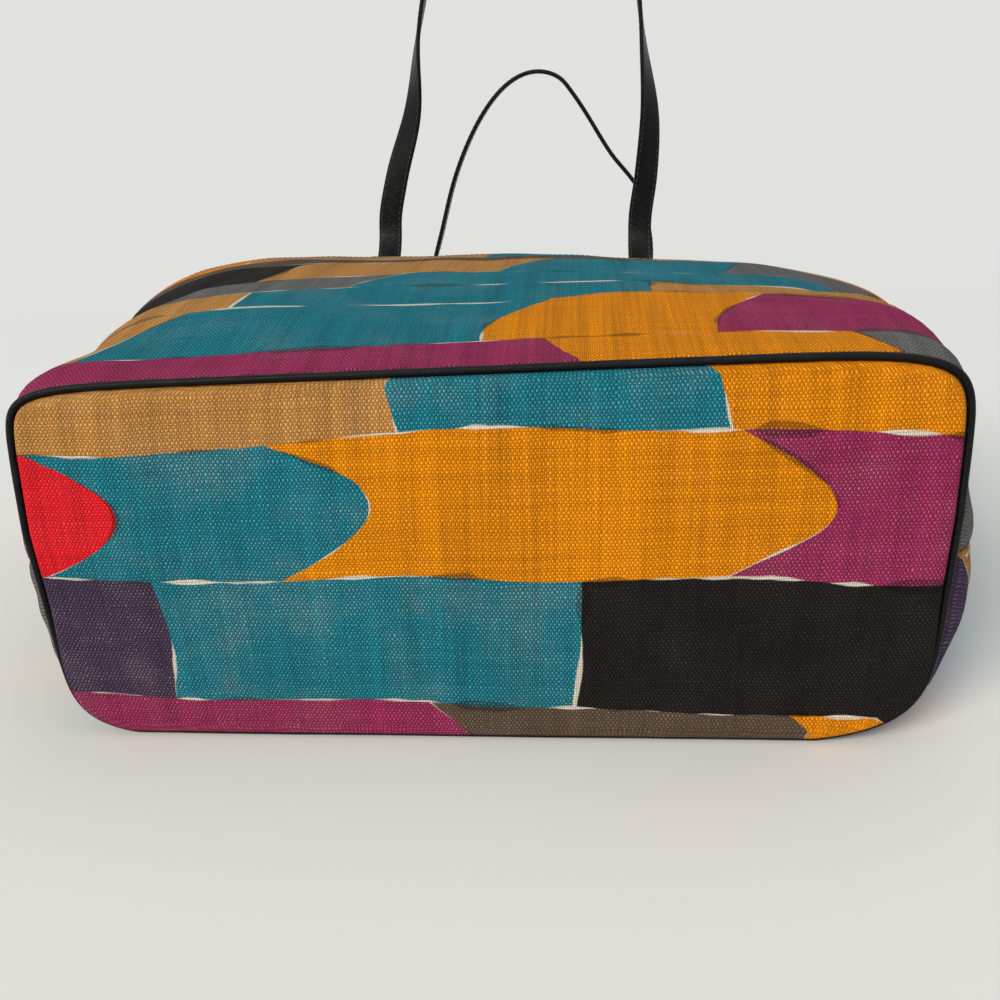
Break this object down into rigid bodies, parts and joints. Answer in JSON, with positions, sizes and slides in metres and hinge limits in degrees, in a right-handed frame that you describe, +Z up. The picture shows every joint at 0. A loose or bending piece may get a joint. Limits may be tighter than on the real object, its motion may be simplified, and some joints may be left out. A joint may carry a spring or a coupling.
{
  "type": "tote bag",
  "caption": "Soft canvas tote bag with an oblong piped base, a flared open mouth and narrow twisted handle straps, lying on its back panel.",
  "frame": {"origin": "on the floor, under the middle of the bag's box, with the bag lying on its back panel", "axes": "+X across the bag, +Y from the base to the mouth, +Z up, out through the front panel"},
  "size_m": [0.4516, 0.3558, 0.4056],
  "materials": {
    "printed_canvas": "coarse plain-weave canvas printed with blocks of colour",
    "base_board": "plain dark board",
    "black_vinyl": "smooth black vinyl with a soft sheen"
  },
  "bodies": {
    "root": {"base_panel": "printed_canvas", "base_board": "base_board", "piping": "black_vinyl", "front_panel": "printed_canvas", "back_panel": "printed_canvas", "front_handle": "black_vinyl", "back_handle": "black_vinyl"}
  },
  "joints": []
}
